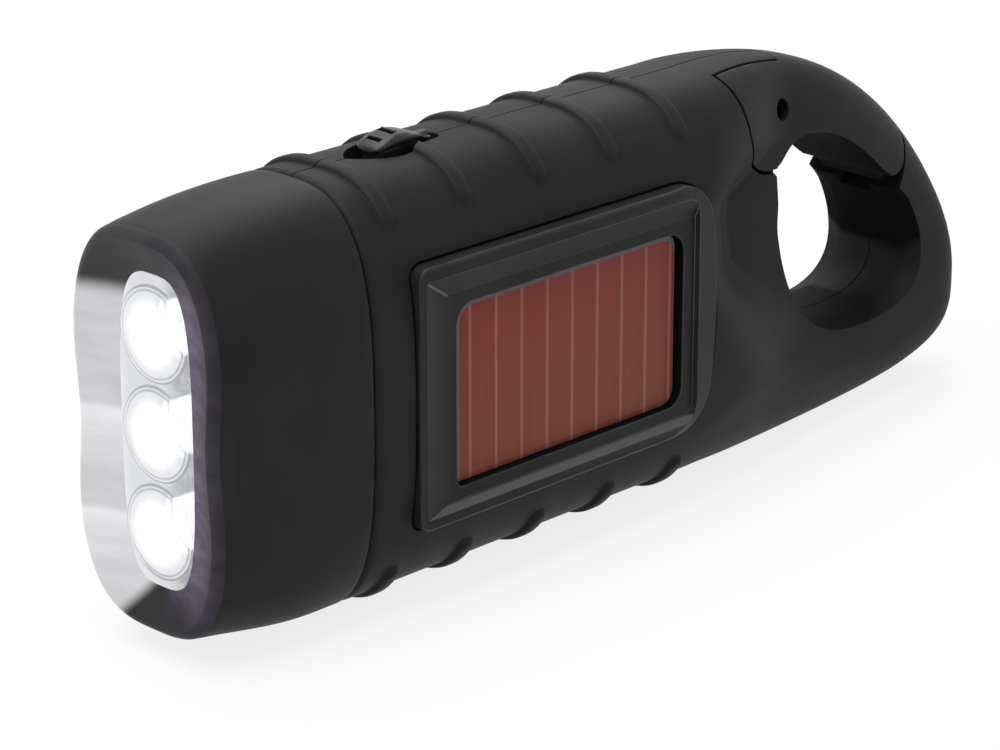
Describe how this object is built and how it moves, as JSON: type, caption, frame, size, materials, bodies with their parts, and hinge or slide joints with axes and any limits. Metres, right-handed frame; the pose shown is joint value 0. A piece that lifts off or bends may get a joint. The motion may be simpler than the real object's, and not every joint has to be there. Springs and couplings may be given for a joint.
{
  "type": "hand crank flashlight",
  "caption": "Slab-shaped pocket flashlight with a folding hand crank, a solar panel, a thumb switch and a rear carabiner loop with a sprung gate.",
  "frame": {"origin": "under the middle of the whole flashlight, on the plane that its lower ribs touch", "axes": "+X along the beam, +Y out of the solar side, +Z towards the switch and the gate"},
  "size_m": [0.1352, 0.0364, 0.0535],
  "materials": {
    "black_shell": "fine matt moulded ABS",
    "black_head": "fine matt moulded ABS",
    "black_frame": "satin moulded ABS",
    "black_gate": "satin moulded nylon",
    "black_crank": "fine matt moulded ABS",
    "black_switch": "satin moulded ABS",
    "black_rubber": "soft matt",
    "clear_plastic": "polished clear acrylic",
    "chrome": "vacuum-plated mirror",
    "led": "clear epoxy, lit white",
    "circuit_board": "green solder mask",
    "silicon": "reddish brown amorphous cell under a clear coat",
    "steel": "zinc plated",
    "nylon": "natural nylon",
    "magnet": "dark sintered ferrite",
    "copper": "enamelled copper winding",
    "battery_wrap": "shrink sleeve",
    "red_wire": "PVC insulation",
    "black_wire": "PVC insulation"
  },
  "bodies": {
    "torch": {"solar_side_shell": "black_shell", "crank_side_shell": "black_shell", "shell_screw_1": "steel", "shell_screw_2": "steel", "shell_screw_3": "steel", "shell_screw_4": "steel", "shell_screw_5": "steel", "head_housing": "black_head", "head_seal": "black_rubber", "lens": "clear_plastic", "reflector": "chrome", "led_1": "led", "led_2": "led", "led_3": "led", "led_board": "circuit_board", "solar_frame": "black_frame", "solar_cell": "silicon", "switch_case": "steel", "main_board": "circuit_board", "gate_pin": "steel", "crank_bush": "nylon", "axle_a": "steel", "axle_b": "steel", "stator_can": "steel", "stator_coil": "copper", "gear_plate": "steel", "plate_screw_1": "steel", "plate_screw_2": "steel", "plate_screw_3": "steel", "battery_pack": "battery_wrap", "battery_cradle": "black_shell", "led_wire_positive": "red_wire", "led_wire_negative": "black_wire", "solar_wire_positive": "red_wire", "solar_wire_negative": "black_wire", "battery_wire_positive": "red_wire", "battery_wire_negative": "black_wire", "generator_wire": "black_wire"},
    "switch": {"switch_slider": "black_switch"},
    "gate": {"gate": "black_gate", "gate_spring": "steel"},
    "crank": {"crank_arm": "black_crank", "crank_shaft": "steel", "hub_screw": "steel", "drive_gear": "nylon", "knob_hinge_pin": "steel"},
    "knob_carrier": {"knob_block": "black_crank", "knob_axle": "steel"},
    "knob": {"knob": "black_crank"},
    "gear_a": {"step_gear_a": "nylon"},
    "gear_b": {"step_gear_b": "nylon"},
    "rotor": {"rotor_pinion": "nylon", "rotor_shaft": "steel", "rotor_magnet": "magnet"}
  },
  "joints": [
    {"name": "crank_spin", "type": "hinge", "parent": "torch", "child": "crank", "pos_m": [0.00368, -0.0125, 0.02575], "axis": [0, 1, 0], "continuous": true},
    {"name": "knob_fold", "type": "hinge", "parent": "crank", "child": "knob_carrier", "pos_m": [0.03968, -0.01425, 0.02575], "axis": [0, 0, 1], "range_deg": [0, 90]},
    {"name": "knob_spin", "type": "hinge", "parent": "knob_carrier", "child": "knob", "pos_m": [0.0277, -0.01425, 0.02575], "axis": [1, 0, 0], "continuous": true},
    {"name": "gear_a_spin", "type": "hinge", "parent": "torch", "child": "gear_a", "pos_m": [0.01499, -0.0045, 0.03367], "axis": [0, 1, 0], "continuous": true},
    {"name": "gear_b_spin", "type": "hinge", "parent": "torch", "child": "gear_b", "pos_m": [0.02418, -0.002, 0.02595], "axis": [0, 1, 0], "continuous": true},
    {"name": "rotor_spin", "type": "hinge", "parent": "torch", "child": "rotor", "pos_m": [0.02973, 0.003, 0.01634], "axis": [0, 1, 0], "continuous": true},
    {"name": "switch_slide", "type": "slide", "parent": "torch", "child": "switch", "axis": [1, 0, 0], "range_m": [0, 0.0026]},
    {"name": "gate_swing", "type": "hinge", "parent": "torch", "child": "gate", "pos_m": [-0.02982, 0.00415, 0.0441], "axis": [0, -1, 0], "range_deg": [0, 25], "stiffness_Nm_per_rad": 0.08}
  ],
  "couplings": [
    {"joint": "gear_a_spin", "follows": "crank_spin", "ratio": -3.6},
    {"joint": "gear_b_spin", "follows": "crank_spin", "ratio": 10.8},
    {"joint": "rotor_spin", "follows": "crank_spin", "ratio": -29.16}
  ]
}
